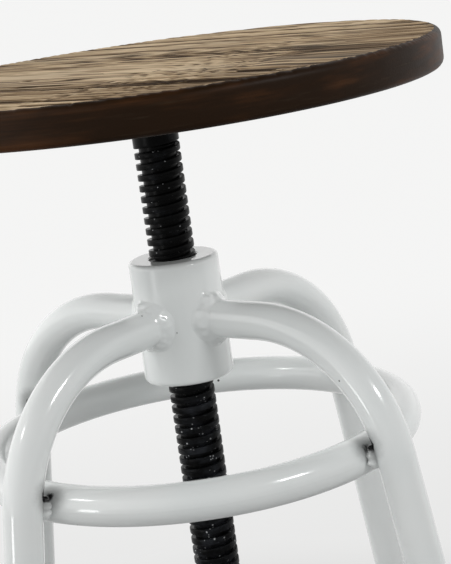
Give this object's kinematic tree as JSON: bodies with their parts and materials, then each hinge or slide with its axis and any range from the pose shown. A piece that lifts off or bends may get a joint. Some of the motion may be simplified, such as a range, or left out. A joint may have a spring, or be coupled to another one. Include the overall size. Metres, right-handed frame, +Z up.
{
  "type": "adjustable swivel stool",
  "caption": "Low round wooden stool whose seat turns on a threaded steel spindle to change its height, in a welded tube frame with bent legs and a foot ring.",
  "frame": {"origin": "on the spindle's axis at floor level, midway between the four feet", "axes": "+Z up along the spindle; the legs stand on the diagonals between +X and +Y"},
  "size_m": [0.35, 0.35, 0.5405],
  "materials": {
    "powder_coat": "gloss white powder coat",
    "seat_wood": "brushed weathered top, dark stained side",
    "spindle_black": "gloss black",
    "plate_black": "satin black",
    "zinc_steel": "zinc plated",
    "foot_rubber": "matt"
  },
  "bodies": {
    "frame": {"hub": "powder_coat", "foot_ring": "powder_coat", "leg_front_right": "powder_coat", "hub_weld_front_right": "powder_coat", "ring_weld_front_right": "powder_coat", "foot_cap_front_right": "foot_rubber", "leg_rear_right": "powder_coat", "hub_weld_rear_right": "powder_coat", "ring_weld_rear_right": "powder_coat", "foot_cap_rear_right": "foot_rubber", "leg_rear_left": "powder_coat", "hub_weld_rear_left": "powder_coat", "ring_weld_rear_left": "powder_coat", "foot_cap_rear_left": "foot_rubber", "leg_front_left": "powder_coat", "hub_weld_front_left": "powder_coat", "ring_weld_front_left": "powder_coat", "foot_cap_front_left": "foot_rubber"},
    "lift": {"stop_washer": "zinc_steel"},
    "seat": {"threaded_spindle": "spindle_black", "seat_disc": "seat_wood", "seat_plate": "plate_black", "plate_weld": "plate_black", "seat_screws": "zinc_steel", "keeper_washer": "zinc_steel", "spring_washer": "zinc_steel", "stop_bolt": "zinc_steel"}
  },
  "joints": [
    {"name": "seat_lift", "type": "slide", "parent": "frame", "child": "lift", "axis": [0, 0, 1], "range_m": [-0.0695, 0.1315]},
    {"name": "seat_turn", "type": "hinge", "parent": "lift", "child": "seat", "pos_m": [0, 0, 0.3855], "axis": [0, 0, 1], "range_deg": [-3790, 7170]}
  ],
  "couplings": [
    {"joint": "seat_lift", "follows": "seat_turn", "m_per_rad": 0.0010504}
  ]
}
